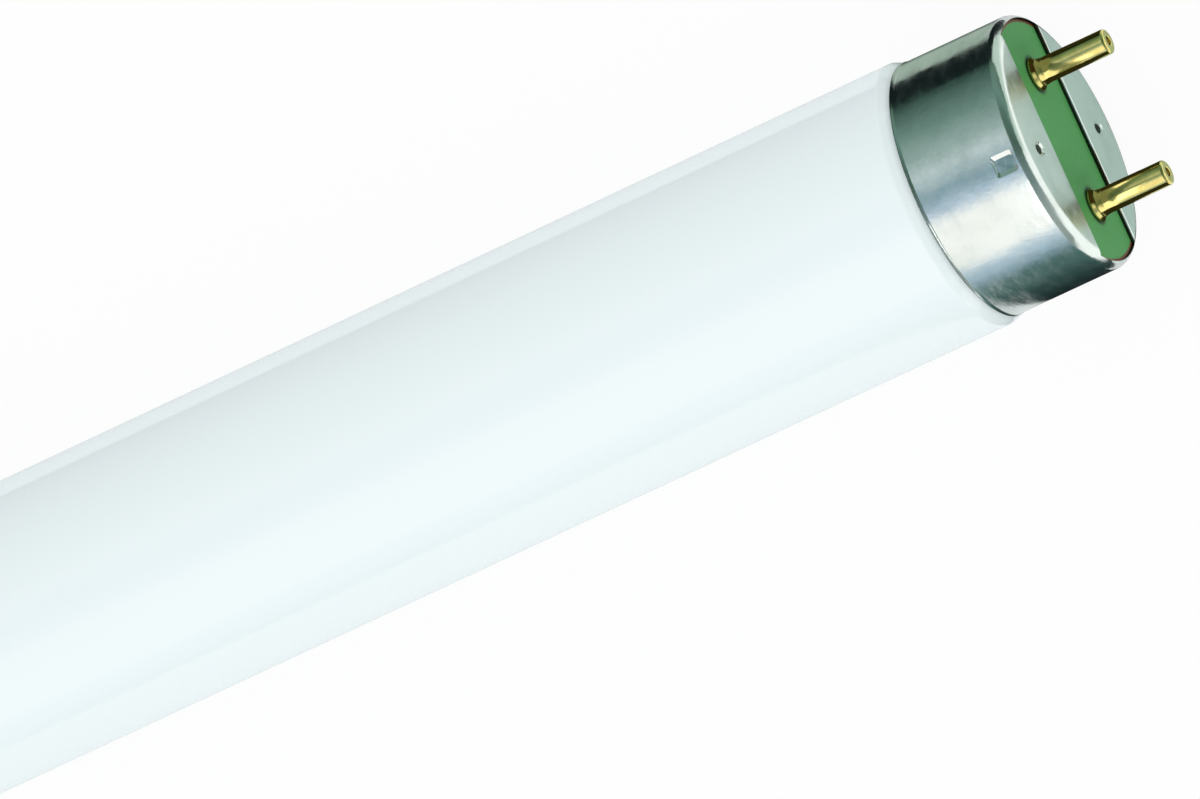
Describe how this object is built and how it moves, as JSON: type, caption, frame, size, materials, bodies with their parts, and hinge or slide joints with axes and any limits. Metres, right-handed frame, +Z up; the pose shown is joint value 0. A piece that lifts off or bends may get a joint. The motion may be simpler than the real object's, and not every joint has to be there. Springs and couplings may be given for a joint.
{
  "type": "fluorescent tube",
  "caption": "Straight white-coated glass lighting tube with a drawn aluminium cap, insulating plate and contact pins at each end.",
  "frame": {"origin": "middle of the lamp, on the tube's axis", "axes": "+X along the tube, towards the end with nodes named a_; +Y across the pins of an end; +Z up, square to the plane of the pins"},
  "size_m": [0.604, 0.0254, 0.0254],
  "materials": {
    "coated_glass": "clear glass, white coating inside, glossy",
    "cap_aluminium": "bright drawn sheet with fine scuffs",
    "insulating_board": "green hard-paper board",
    "pin_brass": "dull bright",
    "lead_wire": "copper-coated wire",
    "cement": "baked resin and filler"
  },
  "bodies": {
    "root": {"glass_tube": "coated_glass", "cement_rings": "cement", "a_end_cap": "cap_aluminium", "a_insulator_plate": "insulating_board", "a_contact_pin_1": "pin_brass", "a_contact_pin_2": "pin_brass", "a_lead_wire_1": "lead_wire", "a_lead_wire_2": "lead_wire", "b_end_cap": "cap_aluminium", "b_insulator_plate": "insulating_board", "b_contact_pin_1": "pin_brass", "b_contact_pin_2": "pin_brass", "b_lead_wire_1": "lead_wire", "b_lead_wire_2": "lead_wire"}
  },
  "joints": []
}
